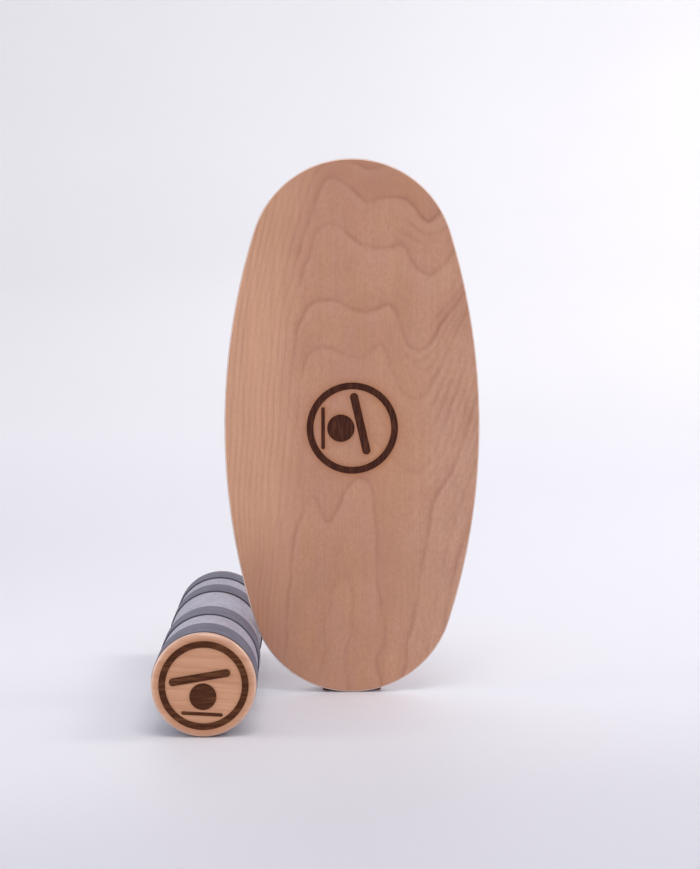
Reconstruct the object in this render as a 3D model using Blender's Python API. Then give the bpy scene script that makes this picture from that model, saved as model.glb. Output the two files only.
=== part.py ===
"""Balance board: an oval plywood deck standing on its end, and the roller it is ridden on beside it.

Units are metres, +Z is up, the floor is z = 0 and the deck's standing surface faces -Y.
The origin is on the floor, in the middle of the whole set. The roller's axis runs along Y.
"""
import math

import bmesh
import bpy
from mathutils import Matrix, Vector

GAP = 0.0003                      # clearance left between pieces that touch
OVERSHOOT = 0.004                 # how far a cutter runs past the face it opens
WELD = 1e-6                       # merge distance for points that coincide

# Deck: an oval of two end arcs joined by two flatter side arcs.
DECK_LENGTH = 0.720
DECK_WIDTH = 0.344
DECK_THICKNESS = 0.012
DECK_END_RADIUS = 0.138
DECK_EDGE_RADIUS = 0.003
END_ARC_STEPS = 28
SIDE_ARC_STEPS = 14

# Stoppers: bars across the underside near each end, which keep the roller under the deck.
STOPPER_LENGTH = 0.080
STOPPER_WIDTH = 0.025
STOPPER_HEIGHT = 0.020
STOPPER_EDGE_RADIUS = 0.0025
LOWER_STOPPER_INSET = 0.0         # flush with the tip, so that the deck stands on it
UPPER_STOPPER_INSET = 0.010
STOPPER_SCREW_SPACING = 0.050

# Roller: a plastic tube with four rubber rings and a turned wooden cap at each end.
TUBE_RADIUS = 0.0625
TUBE_WALL = 0.005
TUBE_LENGTH = 0.474
RING_RADIUS = 0.0645
RING_WIDTH = 0.056
RING_CHAMFER = 0.0005
MIDDLE_BAND_WIDTH = 0.122         # bare tube between the two inner rings
CAP_RADIUS = 0.064                # just under the rings, so that the roller runs on its rubber
CAP_THICKNESS = 0.010
CAP_EDGE_RADIUS = 0.007
CAP_EDGE_STEPS = 5
SPIGOT_LENGTH = 0.018
CAP_SCREWS = 3
ROUND_STEPS = 48

# Countersunk wood screws, 4 mm shank.
SCREW_RADIUS = 0.002
SCREW_HEAD_RADIUS = 0.004
SCREW_HEAD_RIM = 0.0004
SCREW_HEAD_HEIGHT = 0.0024
SCREW_TIP = 0.004
SCREW_SOCKET_RADIUS = 0.0014
SCREW_SOCKET_DEPTH = 0.0012
SCREW_STEPS = 12
STOPPER_SCREW_LENGTH = 0.025
STOPPER_SCREW_SINK = 0.003        # depth of the screw head under the stopper's outer face
CAP_SCREW_LENGTH = 0.016
CAP_SCREW_SINK = 0.0003

# The set as it stands: the roller lies beside the deck, just clear of it.
AXIS_TO_DECK_CENTRE = 0.188
SET_WIDTH = RING_RADIUS + AXIS_TO_DECK_CENTRE + DECK_WIDTH / 2
DECK_X = SET_WIDTH / 2 - DECK_WIDTH / 2
DECK_BACK_Y = 0.004
ROLLER_X = RING_RADIUS - SET_WIDTH / 2

# Colour (linear), roughness and metallic value of each material.
MATERIALS = {
    "deck_wood": ((0.46, 0.245, 0.155), 0.55, 0.0),
    "stopper_wood": ((0.42, 0.215, 0.13), 0.6, 0.0),
    "cap_wood": ((0.53, 0.29, 0.17), 0.5, 0.0),
    "tube_plastic": ((0.42, 0.40, 0.47), 0.65, 0.0),
    "ring_rubber": ((0.19, 0.185, 0.23), 0.8, 0.0),
    "screw_steel": ((0.56, 0.55, 0.53), 0.35, 1.0),
}


def clear_scene():
    for item in list(bpy.data.objects):
        bpy.data.objects.remove(item, do_unlink=True)


def make_material(name):
    colour, roughness, metallic = MATERIALS[name]
    material = bpy.data.materials.new(name)
    material.use_nodes = True
    shader = material.node_tree.nodes["Principled BSDF"]
    shader.inputs["Base Color"].default_value = (*colour, 1.0)
    shader.inputs["Roughness"].default_value = roughness
    shader.inputs["Metallic"].default_value = metallic
    return material


def mesh_from(name, bm):
    """Turn bm into a mesh with outward faces, smooth where it is round."""
    bmesh.ops.remove_doubles(bm, verts=bm.verts, dist=WELD)
    bmesh.ops.recalc_face_normals(bm, faces=bm.faces)
    mesh = bpy.data.meshes.new(name)
    bm.to_mesh(mesh)
    bm.free()
    mesh.shade_smooth()
    mesh.set_sharp_from_angle(angle=math.radians(30))
    return mesh


def place(name, mesh, material, parent=None, matrix=None):
    """Add a named piece to the scene."""
    piece = bpy.data.objects.new(name, mesh)
    bpy.context.scene.collection.objects.link(piece)
    if not mesh.materials:
        mesh.materials.append(material)
    piece.parent = parent
    if matrix is not None:
        piece.matrix_local = matrix
    return piece


def add_turned(bm, profile, steps, matrix=None):
    """Turn a profile of (radius, height) points about Z. A profile that closes makes a ring."""
    matrix = matrix or Matrix.Identity(4)
    body = bmesh.new()
    points = [body.verts.new((radius, 0.0, height)) for radius, height in profile]
    for start, end in zip(points, points[1:]):
        body.edges.new((start, end))
    bmesh.ops.spin(body, geom=body.verts[:] + body.edges[:], cent=(0, 0, 0), axis=(0, 0, 1),
                   angle=math.tau, steps=steps, use_merge=True)
    bmesh.ops.remove_doubles(body, verts=body.verts, dist=WELD)
    bmesh.ops.recalc_face_normals(body, faces=body.faces)
    body.transform(matrix)
    turned = bpy.data.meshes.new("turned")
    body.to_mesh(turned)
    body.free()
    bm.from_mesh(turned)
    bpy.data.meshes.remove(turned)


def turned_mesh(name, profile, steps=ROUND_STEPS):
    bm = bmesh.new()
    add_turned(bm, profile, steps)
    return mesh_from(name, bm)


def make_cutter(name, profile, matrices, parent=None):
    """One hidden cutter that holds a turned hole at each of the given places."""
    bm = bmesh.new()
    for matrix in matrices:
        add_turned(bm, profile, SCREW_STEPS, matrix)
    cutter = bpy.data.objects.new(name, mesh_from(name, bm))
    bpy.context.scene.collection.objects.link(cutter)
    cutter.parent = parent
    cutter.hide_render = True
    cutter.display_type = "WIRE"
    return cutter


def cut(piece, cutter):
    """Open the cutter's holes in a piece."""
    hole = piece.modifiers.new(cutter.name, "BOOLEAN")
    hole.operation = "DIFFERENCE"
    hole.solver = "EXACT"
    hole.object = cutter


def round_edges(piece, radius, steps):
    bevel = piece.modifiers.new("rounded_edges", "BEVEL")
    bevel.width = radius
    bevel.segments = steps
    bevel.limit_method = "ANGLE"
    bevel.angle_limit = math.radians(40)


def arc(centre_x, centre_z, radius, start, sweep, steps):
    """Points along an arc in the XZ plane, without its last one. Angles are in radians."""
    return [(centre_x + radius * math.cos(start + sweep * step / steps),
             centre_z + radius * math.sin(start + sweep * step / steps)) for step in range(steps)]


def deck_outline():
    """The oval about its own centre: the side arcs meet the end arcs without a corner."""
    end_centre = DECK_LENGTH / 2 - DECK_END_RADIUS
    half_width = DECK_WIDTH / 2
    side_radius = ((end_centre ** 2 + half_width ** 2 - DECK_END_RADIUS ** 2)
                   / (2 * (half_width - DECK_END_RADIUS)))
    side_angle = math.asin(end_centre / (side_radius - DECK_END_RADIUS))
    side_centre = side_radius - half_width
    end_sweep = math.pi - 2 * side_angle
    right = arc(-side_centre, 0, side_radius, -side_angle, 2 * side_angle, SIDE_ARC_STEPS)
    top = arc(0, end_centre, DECK_END_RADIUS, side_angle, end_sweep, END_ARC_STEPS)
    left = arc(side_centre, 0, side_radius, math.pi - side_angle, 2 * side_angle, SIDE_ARC_STEPS)
    bottom = arc(0, -end_centre, DECK_END_RADIUS, math.pi + side_angle, end_sweep, END_ARC_STEPS)
    return right + top + left + bottom


def make_deck(material):
    bm = bmesh.new()
    front = bm.faces.new([bm.verts.new((x, -DECK_THICKNESS, z)) for x, z in deck_outline()])
    extruded = bmesh.ops.extrude_face_region(bm, geom=[front])["geom"]
    back = [item for item in extruded if isinstance(item, bmesh.types.BMVert)]
    bmesh.ops.translate(bm, verts=back, vec=(0, DECK_THICKNESS, 0))
    deck = place("deck", mesh_from("deck", bm), material,
                 matrix=Matrix.Translation((DECK_X, DECK_BACK_Y, DECK_LENGTH / 2)))
    round_edges(deck, DECK_EDGE_RADIUS, 3)
    return deck


def make_stopper(name, centre_z, material):
    """A bar whose inner face lies on the deck's underside."""
    bm = bmesh.new()
    bmesh.ops.create_cube(bm, size=1.0)
    bmesh.ops.scale(bm, verts=bm.verts, vec=(STOPPER_LENGTH, STOPPER_HEIGHT - GAP, STOPPER_WIDTH))
    middle_y = DECK_BACK_Y + (STOPPER_HEIGHT + GAP) / 2
    stopper = place(name, mesh_from(name, bm), material,
                    matrix=Matrix.Translation((DECK_X, middle_y, centre_z)))
    round_edges(stopper, STOPPER_EDGE_RADIUS, 2)
    return stopper


def screw_profile(length):
    """A countersunk screw with its head's top at z = 0, pointing down."""
    return [
        (0, -SCREW_SOCKET_DEPTH),
        (SCREW_SOCKET_RADIUS, -SCREW_SOCKET_DEPTH),
        (SCREW_SOCKET_RADIUS, 0),
        (SCREW_HEAD_RADIUS, 0),
        (SCREW_HEAD_RADIUS, -SCREW_HEAD_RIM),
        (SCREW_RADIUS, -SCREW_HEAD_HEIGHT),
        (SCREW_RADIUS, SCREW_TIP - length),
        (0, -length),
    ]


def screw_hole_profile(length, mouth):
    """The clearance hole for that screw, open at the top up to the height of its mouth."""
    return [
        (0, mouth),
        (SCREW_HEAD_RADIUS + GAP, mouth),
        (SCREW_HEAD_RADIUS + GAP, -SCREW_HEAD_RIM - GAP),
        (SCREW_RADIUS + GAP, -SCREW_HEAD_HEIGHT - GAP),
        (SCREW_RADIUS + GAP, -length - GAP),
        (0, -length - GAP),
    ]


def stopper_screw_places(centre_z):
    """Where a stopper's screws sit: heads towards +Y, one either side of the middle."""
    head_y = DECK_BACK_Y + STOPPER_HEIGHT - STOPPER_SCREW_SINK
    outwards = Matrix.Rotation(math.radians(-90), 4, "X")
    return [Matrix.Translation((DECK_X + side * STOPPER_SCREW_SPACING / 2, head_y, centre_z)) @ outwards
            for side in (-1, 1)]


def build_board(materials):
    """The deck, its two stoppers and the screws that hold them."""
    deck = make_deck(materials["deck_wood"])
    screw = turned_mesh("stopper_screw", screw_profile(STOPPER_SCREW_LENGTH), SCREW_STEPS)
    hole = screw_hole_profile(STOPPER_SCREW_LENGTH, STOPPER_SCREW_SINK + OVERSHOOT)
    heights = {
        "lower": LOWER_STOPPER_INSET + STOPPER_WIDTH / 2,
        "upper": DECK_LENGTH - UPPER_STOPPER_INSET - STOPPER_WIDTH / 2,
    }
    for end, centre_z in heights.items():
        stopper = make_stopper(f"stopper_{end}", centre_z, materials["stopper_wood"])
        places = stopper_screw_places(centre_z)
        holes = make_cutter(f"stopper_{end}_holes", hole, places)
        cut(stopper, holes)
        cut(deck, holes)
        for side, matrix in zip(("left", "right"), places):
            place(f"stopper_screw_{end}_{side}", screw, materials["screw_steel"], matrix=matrix)


def tube_profile():
    half = TUBE_LENGTH / 2
    inner = TUBE_RADIUS - TUBE_WALL
    return [(inner, -half), (TUBE_RADIUS, -half), (TUBE_RADIUS, half), (inner, half), (inner, -half)]


def ring_profile():
    """A ring about its own middle, with its outer corners broken."""
    half = RING_WIDTH / 2
    inner = TUBE_RADIUS + GAP
    shoulder = RING_RADIUS - RING_CHAMFER
    return [
        (inner, -half),
        (shoulder, -half),
        (RING_RADIUS, -half + RING_CHAMFER),
        (RING_RADIUS, half - RING_CHAMFER),
        (shoulder, half),
        (inner, half),
        (inner, -half),
    ]


def ring_middles():
    """Middles of the four rings along the roller: the outer pair ends flush with the tube."""
    outer = (TUBE_LENGTH - RING_WIDTH) / 2
    inner = (MIDDLE_BAND_WIDTH + RING_WIDTH) / 2
    return [-outer, -inner, inner, outer]


def cap_profile():
    """A turned cap whose outer face is up and whose shoulder sits at z = 0."""
    spigot = TUBE_RADIUS - TUBE_WALL - GAP
    edge_centre = CAP_RADIUS - CAP_EDGE_RADIUS
    rounding = [math.radians(90) * step / CAP_EDGE_STEPS for step in range(CAP_EDGE_STEPS + 1)]
    edge = [(edge_centre + CAP_EDGE_RADIUS * math.cos(angle),
             CAP_THICKNESS - CAP_EDGE_RADIUS + CAP_EDGE_RADIUS * math.sin(angle)) for angle in rounding]
    return [(0, -SPIGOT_LENGTH), (spigot, -SPIGOT_LENGTH), (spigot, GAP), (CAP_RADIUS, GAP), *edge,
            (0, CAP_THICKNESS)]


def cap_screw_places(end):
    """Radial places of one cap's screws, heads outwards; end is -1 for the front, 1 for the rear."""
    along = end * (TUBE_LENGTH - SPIGOT_LENGTH) / 2
    outwards = Matrix.Rotation(math.radians(90), 4, "Y")
    places = []
    for index in range(CAP_SCREWS):
        turn = Matrix.Rotation(math.radians(90) + math.tau * index / CAP_SCREWS, 4, "Z")
        reach = Matrix.Translation((TUBE_RADIUS - CAP_SCREW_SINK, 0, along))
        places.append(turn @ reach @ outwards)
    return places


def make_roller_axis():
    """The roller's frame: its local Z runs along the axis, from the front cap to the rear one."""
    axis = bpy.data.objects.new("roller_axis", None)
    bpy.context.scene.collection.objects.link(axis)
    centre = Vector((ROLLER_X, 0, RING_RADIUS))
    axis.matrix_world = Matrix.Translation(centre) @ Matrix.Rotation(math.radians(-90), 4, "X")
    return axis


def build_roller(materials):
    """Everything that turns with the roller."""
    axis = make_roller_axis()
    tube = place("roller_tube", turned_mesh("roller_tube", tube_profile()), materials["tube_plastic"], axis)
    ring = turned_mesh("grip_ring", ring_profile())
    for number, middle in enumerate(ring_middles(), start=1):
        place(f"grip_ring_{number}", ring, materials["ring_rubber"], axis, Matrix.Translation((0, 0, middle)))

    cap_mesh = turned_mesh("end_cap", cap_profile())
    screw = turned_mesh("cap_screw", screw_profile(CAP_SCREW_LENGTH), SCREW_STEPS)
    hole = screw_hole_profile(CAP_SCREW_LENGTH, CAP_SCREW_SINK + OVERSHOOT)
    for end_name, end in (("front", -1), ("rear", 1)):
        facing = Matrix.Rotation(math.radians(180) if end < 0 else 0.0, 4, "X")
        seat = Matrix.Translation((0, 0, end * TUBE_LENGTH / 2)) @ facing
        cap = place(f"end_cap_{end_name}", cap_mesh, materials["cap_wood"], axis, seat)
        places = cap_screw_places(end)
        holes = make_cutter(f"cap_{end_name}_holes", hole, places, axis)
        cut(tube, holes)
        cut(cap, holes)
        for number, matrix in enumerate(places, start=1):
            place(f"cap_screw_{end_name}_{number}", screw, materials["screw_steel"], axis, matrix)


def main():
    clear_scene()
    materials = {name: make_material(name) for name in MATERIALS}
    build_board(materials)
    build_roller(materials)


main()
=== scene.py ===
"""Looks of the balance board: an oval plywood deck on its end, and its roller lying beside it."""
import math

import bmesh
import bpy
import numpy as np
from mathutils import Matrix, Vector


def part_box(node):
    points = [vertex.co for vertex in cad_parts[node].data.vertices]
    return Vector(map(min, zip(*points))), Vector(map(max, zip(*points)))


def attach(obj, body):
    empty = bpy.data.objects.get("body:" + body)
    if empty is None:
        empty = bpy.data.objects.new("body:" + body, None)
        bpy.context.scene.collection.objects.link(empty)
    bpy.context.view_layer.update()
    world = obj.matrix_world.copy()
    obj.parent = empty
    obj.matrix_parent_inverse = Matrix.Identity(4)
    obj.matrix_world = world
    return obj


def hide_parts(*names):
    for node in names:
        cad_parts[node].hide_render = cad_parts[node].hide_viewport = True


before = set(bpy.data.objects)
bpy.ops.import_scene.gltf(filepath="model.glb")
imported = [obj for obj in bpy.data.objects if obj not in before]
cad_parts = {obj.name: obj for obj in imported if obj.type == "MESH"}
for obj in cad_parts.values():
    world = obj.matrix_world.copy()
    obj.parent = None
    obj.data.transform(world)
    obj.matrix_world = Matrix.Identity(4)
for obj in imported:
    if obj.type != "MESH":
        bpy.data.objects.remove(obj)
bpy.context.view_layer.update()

# ------ sizes, in metres
DECK_LOW, DECK_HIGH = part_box("deck")
DECK_CENTRE = (DECK_LOW + DECK_HIGH) / 2
DECK_LENGTH = DECK_HIGH.z - DECK_LOW.z
DECK_WIDTH = DECK_HIGH.x - DECK_LOW.x
DECK_THICKNESS = DECK_HIGH.y - DECK_LOW.y
DECK_END_RADIUS = 0.138
DECK_EDGE_RADIUS = 0.003
OUTLINE_POINTS = 320
FRONT_RINGS = 96  # loops across the front face, where the figure is seen
BACK_RINGS = 60
EDGE_STEPS = 8

RING_LOW, RING_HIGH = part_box("grip_ring_1")
TUBE_LOW, TUBE_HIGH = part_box("roller_tube")
AXIS_X = (RING_LOW.x + RING_HIGH.x) / 2
AXIS_Z = (RING_LOW.z + RING_HIGH.z) / 2
RING_RADIUS = (RING_HIGH.z - RING_LOW.z) / 2
TUBE_RADIUS = (TUBE_HIGH.z - TUBE_LOW.z) / 2
TUBE_WALL = 0.005
TUBE_LIP = 0.0004  # chamfer on the tube's ends
RING_CORNER = 0.0006
GLUE_GAP = 0.00005
TURNED_STEPS = 192
RING_CORNER_STEPS, CAP_FACE_STEPS, CAP_EDGE_STEPS, CAP_BACK_STEPS = 4, 12, 12, 6

CAP_LOW, CAP_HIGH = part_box("end_cap_front")
CAP_RADIUS = (CAP_HIGH.z - CAP_LOW.z) / 2
CAP_EDGE_RADIUS = 0.007  # the front rounding, across the face
CAP_RIM_DEPTH = 0.0056  # the front rounding, along the axis
CAP_BACK_RADIUS = 0.0015
CAP_GROOVE_DEPTH = 0.0020
GROOVE_STEP = 0.0001  # between the rim's back rounding and the groove
CAP_GAP = 0.0003  # between a cap and the tube
CAP_GRAIN_TURN = math.radians(-3.5)  # how far the caps are turned from upright

STOPPER_EDGE_RADIUS = 0.0025
COUNTERBORE_RADIUS = 0.0043
SCREW_HEAD_RADIUS = 0.004
SCREW_SHANK_RADIUS = 0.002
SCREW_SINK = 0.003

EMBLEM_DEPTH = 0.0006
DECK_EMBLEM_RADIUS = 0.0615
CAP_EMBLEM_RADIUS = 0.0545
CUTTER_RISE = 0.001  # how far a cutter stands out of the face it cuts


# ------ node tree helper
class Tree:
    """Short calls for building one material's node tree. Its colour is built up tint by tint."""

    def __init__(self, name):
        self.material = bpy.data.materials.new(name)
        self.material.use_nodes = True
        self.nodes = self.material.node_tree.nodes
        self.links = self.material.node_tree.links
        self.shader = self.nodes["Principled BSDF"]
        self.coords = self.node("ShaderNodeTexCoord").outputs["Object"]  # metres
        self.colour = None

    def node(self, kind, **settings):
        made = self.nodes.new(kind)
        for key, value in settings.items():
            setattr(made, key, value)
        return made

    def feed(self, socket, value):
        """Set a socket to a number, a colour, or another node's output."""
        if isinstance(value, bpy.types.NodeSocket):
            self.links.new(value, socket)
        elif isinstance(value, (tuple, list)) and socket.type == "RGBA":
            socket.default_value = (*value[:3], 1.0)
        else:
            socket.default_value = value

    def math(self, operation, first, second=0.0):
        made = self.node("ShaderNodeMath", operation=operation)
        self.feed(made.inputs[0], first)
        self.feed(made.inputs[1], second)
        return made.outputs[0]

    def add(self, first, second):
        return self.math("ADD", first, second)

    def sub(self, first, second):
        return self.math("SUBTRACT", first, second)

    def mul(self, product, *factors):
        for factor in factors:
            product = self.math("MULTIPLY", product, factor)
        return product

    def div(self, first, second):
        return self.math("DIVIDE", first, second)

    def apart(self, first, second):
        """How far two values are apart."""
        return self.math("ABSOLUTE", self.sub(first, second))

    def hypot(self, first, second):
        return self.math("SQRT", self.add(self.mul(first, first), self.mul(second, second)))

    def bell(self, value):
        """1 at 0, falling off on both sides."""
        return self.math("EXPONENT", self.mul(value, value, -0.5))

    def fade(self, value, reach):
        """1 at 0, falling off over reach."""
        return self.math("EXPONENT", self.mul(value, -1.0 / reach))

    def spread(self, value, low, high, to_low=0.0, to_high=1.0):
        """Stretch low..high to to_low..to_high, clamped, with soft ends."""
        made = self.node("ShaderNodeMapRange", interpolation_type="SMOOTHSTEP")
        for key, item in (("Value", value), ("From Min", low), ("From Max", high),
                          ("To Min", to_low), ("To Max", to_high)):
            self.feed(made.inputs[key], item)
        return made.outputs["Result"]

    def mapped(self, vector, scale=(1, 1, 1), rotation=(0, 0, 0), location=(0, 0, 0)):
        made = self.node("ShaderNodeMapping")
        self.feed(made.inputs["Vector"], vector)
        made.inputs["Scale"].default_value = scale
        made.inputs["Rotation"].default_value = rotation
        made.inputs["Location"].default_value = location
        return made.outputs[0]

    def noise(self, per_metre, detail=2.0, roughness=0.5, offset=(0, 0, 0), vector=None):
        """Noise with so many features a metre along x, y and z."""
        place = self.mapped(self.coords if vector is None else vector, scale=per_metre, location=offset)
        made = self.node("ShaderNodeTexNoise")
        self.feed(made.inputs["Vector"], place)
        for key, value in (("Scale", 1.0), ("Detail", detail), ("Roughness", roughness)):
            made.inputs[key].default_value = value
        return made.outputs["Fac"]

    def flecks(self, per_metre, low=0.62, vector=None):
        """Small separate marks: the peaks of a plain noise."""
        return self.spread(self.noise(per_metre, 1.0, vector=vector), low, low + 0.12)

    def mix(self, factor, first, second):
        made = self.node("ShaderNodeMix", data_type="RGBA")
        self.feed(made.inputs["Factor"], factor)
        self.feed(made.inputs[6], first)  # 6 and 7 are its colour inputs
        self.feed(made.inputs[7], second)
        return made.outputs[2]  # and 2 is its colour output

    def base(self, value, first, second, low=0.3, high=0.7):
        """Start from the first colour, which turns into the second as the value rises."""
        self.colour = self.mix(self.spread(value, low, high), first, second)

    def tint(self, colour, where, strength):
        """Blend a colour over what is there, as far as where times strength says."""
        self.colour = self.mix(self.mul(where, strength), self.colour, colour)

    def attribute(self, name):
        return self.node("ShaderNodeAttribute", attribute_name=name).outputs["Fac"]

    def separate(self, vector):
        made = self.node("ShaderNodeSeparateXYZ")
        self.feed(made.inputs[0], vector)
        return made.outputs

    def combine(self, *parts):
        made = self.node("ShaderNodeCombineXYZ")
        for socket, part in zip(made.inputs, parts):
            self.feed(socket, part)
        return made.outputs[0]

    def bump(self, height, strength, distance):
        made = self.node("ShaderNodeBump")
        self.feed(made.inputs["Height"], height)
        made.inputs["Strength"].default_value = strength
        made.inputs["Distance"].default_value = distance
        self.links.new(made.outputs[0], self.shader.inputs["Normal"])

    def surface(self, **inputs):
        """Set the shader's inputs, with _ for the spaces in their names."""
        for key, value in inputs.items():
            self.feed(self.shader.inputs[key.replace("_", " ")], value)

    def finish(self, roughness, specular=0.5, metallic=0.0):
        self.surface(Base_Color=self.colour, Roughness=roughness, Metallic=metallic,
                     Specular_IOR_Level=specular)
        return self.material


def srgb(red, green, blue):
    """A linear colour from 0-255 display values."""
    def linear(value):
        share = value / 255
        return share / 12.92 if share <= 0.04045 else ((share + 0.055) / 1.055) ** 2.4
    return (linear(red), linear(green), linear(blue))


# ------ meshes
def circle_points(centre, radius, count):
    return [(centre[0] + radius * math.cos(math.tau * step / count),
             centre[1] + radius * math.sin(math.tau * step / count)) for step in range(count)]


def quarter_turn(steps, first=0):
    """Sine and cosine of even steps from 0 to 90 degrees."""
    angles = [math.radians(90) * step / steps for step in range(first, steps + 1)]
    return [(math.sin(angle), math.cos(angle)) for angle in angles]


LOFT_SMOOTH, CUT_SMOOTH, DECK_SMOOTH, COVE_SMOOTH = 30, 35, 40, 60  # degrees; steeper edges are sharp


def shaded(mesh, smooth_angle):
    mesh.shade_smooth()
    mesh.set_sharp_from_angle(angle=math.radians(smooth_angle))
    return mesh


def mesh_from(bm, name):
    """A mesh made from a closed bmesh, facing outward. The bmesh is freed."""
    bmesh.ops.recalc_face_normals(bm, faces=bm.faces)
    mesh = bpy.data.meshes.new(name)
    bm.to_mesh(mesh)
    bm.free()
    return mesh


def linked(name, data):
    """A new object in the scene."""
    made = bpy.data.objects.new(name, data)
    bpy.context.scene.collection.objects.link(made)
    return made


def add_piece(name, mesh, body, slot, replaced, *materials):
    piece = linked(name, mesh)
    for material in materials:
        mesh.materials.append(material)
    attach(piece, body)
    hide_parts(*replaced)


def loft(bm, loops, ring=False, pointed=False):
    """Add loops of points joined with quads. As a ring, the last joins the first. Otherwise each end is
    closed, with one flat face or, when pointed, with triangles round its middle."""
    rows = [[bm.verts.new(point) for point in loop] for loop in loops]
    for first, second in zip(rows, rows[1:] + rows[:1] if ring else rows[1:]):
        for step in range(len(first)):
            after = (step + 1) % len(first)
            bm.faces.new((first[step], first[after], second[after], second[step]))
    for end in () if ring else (rows[0][::-1], rows[-1]):
        if pointed:
            middle = bm.verts.new(sum((vert.co for vert in end), Vector()) / len(end))
            for first, second in zip(end, end[1:] + end[:1]):
                bm.faces.new((first, second, middle))
        else:
            bm.faces.new(end)


def lofted(name, loops, **ends):
    bm = bmesh.new()
    loft(bm, loops, **ends)
    return shaded(mesh_from(bm, name), LOFT_SMOOTH)


def turned(name, profile, **ends):
    """Turn (radius, y) points about the roller's axis."""
    loops = [[(x, y, z) for x, z in circle_points((AXIS_X, AXIS_Z), radius, TURNED_STEPS)]
             for radius, y in profile]
    return lofted(name, loops, **ends)


def prism(bm, outline, place, low, high):
    """A closed prism over an outline; place turns (u, v, height) into a point."""
    loft(bm, [[place(u, v, height) for u, v in outline] for height in (low, high)])


def upright(u, v, y):
    """A place for outlines drawn in X and Z."""
    return (u, y, v)


def applied(piece_mesh, cutter_mesh, name, smooth_angle=CUT_SMOOTH):
    """The first mesh with the second one cut out of it."""
    body, cutter = linked(f"{name}_body", piece_mesh), linked(f"{name}_cutter", cutter_mesh)
    cut = body.modifiers.new("cut", "BOOLEAN")
    cut.operation = "DIFFERENCE"
    cut.solver = "EXACT"
    cut.object = cutter
    bpy.context.view_layer.update()
    graph = bpy.context.evaluated_depsgraph_get()
    result = bpy.data.meshes.new_from_object(body.evaluated_get(graph))
    result.name = name
    for item in (body, cutter):
        bpy.data.objects.remove(item, do_unlink=True)
    return shaded(result, smooth_angle)


# ------ emblem: a board on a roller, inside a ring
# Sizes are in emblem radii.
RING_OUTER, RING_INNER = 1.0, 0.85
ROLLER_CENTRE, ROLLER_SIZE = (0.0, -0.25), 0.30
BAR_TILT = math.radians(13)
BAR_HALF_LENGTH, BAR_HALF_THICKNESS, BAR_GAP = 0.60, 0.09, 0.045
BAR_LIFT = ROLLER_SIZE + BAR_HALF_THICKNESS + BAR_GAP
BAR_CENTRE = (ROLLER_CENTRE[0] - BAR_LIFT * math.sin(BAR_TILT),
              ROLLER_CENTRE[1] + BAR_LIFT * math.cos(BAR_TILT))
BAR = (BAR_CENTRE, BAR_HALF_LENGTH, BAR_HALF_THICKNESS, BAR_TILT)
GROUND_LINE = ((0.0, -0.64), 0.42, 0.04, 0.0)
ROLLER = (ROLLER_CENTRE, 0.0, ROLLER_SIZE, 0.0)  # a bar of no length
RING_STEPS, ROLLER_STEPS, BAR_END_STEPS = 128, 72, 16


def rounded_bar(centre, half_length, half_thickness, tilt):
    """Outline of a bar with round ends."""
    points = []
    for side, start in ((1, -90), (-1, 90)):
        for step in range(BAR_END_STEPS + 1):
            angle = math.radians(start + 180 * step / BAR_END_STEPS)
            along = side * half_length + half_thickness * math.cos(angle)
            across = half_thickness * math.sin(angle)
            points.append((centre[0] + along * math.cos(tilt) - across * math.sin(tilt),
                           centre[1] + along * math.sin(tilt) + across * math.cos(tilt)))
    return points


def emblem_cutter(name, place):
    """Everything that is engraved, from EMBLEM_DEPTH under the face to just above it."""
    bm = bmesh.new()
    low, high = -EMBLEM_DEPTH, CUTTER_RISE
    corners = ((RING_OUTER, low), (RING_OUTER, high), (RING_INNER, high), (RING_INNER, low))
    loft(bm, [[place(u, v, height) for u, v in circle_points((0, 0), radius, RING_STEPS)]
              for radius, height in corners], ring=True)
    for outline in (circle_points(ROLLER_CENTRE, ROLLER_SIZE, ROLLER_STEPS),
                    rounded_bar(*BAR), rounded_bar(*GROUND_LINE)):
        prism(bm, outline, place, low, high)
    return mesh_from(bm, name)


def emblem_place(centre, radius, turn, outward):
    """Maps emblem (u, v, height) to space. outward is the face's normal along Y: -1 or 1."""
    def place(u, v, height):
        right = u * math.cos(turn) - v * math.sin(turn)
        up = u * math.sin(turn) + v * math.cos(turn)
        return (centre[0] - outward * right * radius, centre[1] + outward * height, centre[2] + up * radius)
    return place


def mark_engraving(mesh, face_y, outward, centre, radius, index):
    """Give the engraving's floor and walls the burnt material."""
    just_outside = radius * 1.01
    for polygon in mesh.polygons:
        x, y, z = polygon.center
        inside = math.hypot(x - centre[0], z - centre[2]) < just_outside
        below = (y - face_y) * outward
        if inside and -2 * EMBLEM_DEPTH < below < -0.1 * EMBLEM_DEPTH:
            polygon.material_index = index


def emblem_halo(tree, right, up, reach):
    """How scorched the wood is near the engraving, 1 at its edge. right and up are in emblem radii."""
    middle, half = (RING_OUTER + RING_INNER) / 2, (RING_OUTER - RING_INNER) / 2
    nearest = tree.sub(tree.apart(tree.hypot(right, up), middle), half)
    for centre, half_length, half_thickness, tilt in (ROLLER, BAR, GROUND_LINE):
        dx, dy = tree.sub(right, centre[0]), tree.sub(up, centre[1])
        along = tree.add(tree.mul(dx, math.cos(tilt)), tree.mul(dy, math.sin(tilt)))
        across = tree.sub(tree.mul(dy, math.cos(tilt)), tree.mul(dx, math.sin(tilt)))
        past = tree.math("MAXIMUM", tree.sub(tree.math("ABSOLUTE", along), half_length), 0.0)
        nearest = tree.math("MINIMUM", nearest, tree.sub(tree.hypot(past, across), half_thickness))
    return tree.fade(tree.math("MAXIMUM", nearest, 0.0), reach)


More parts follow.
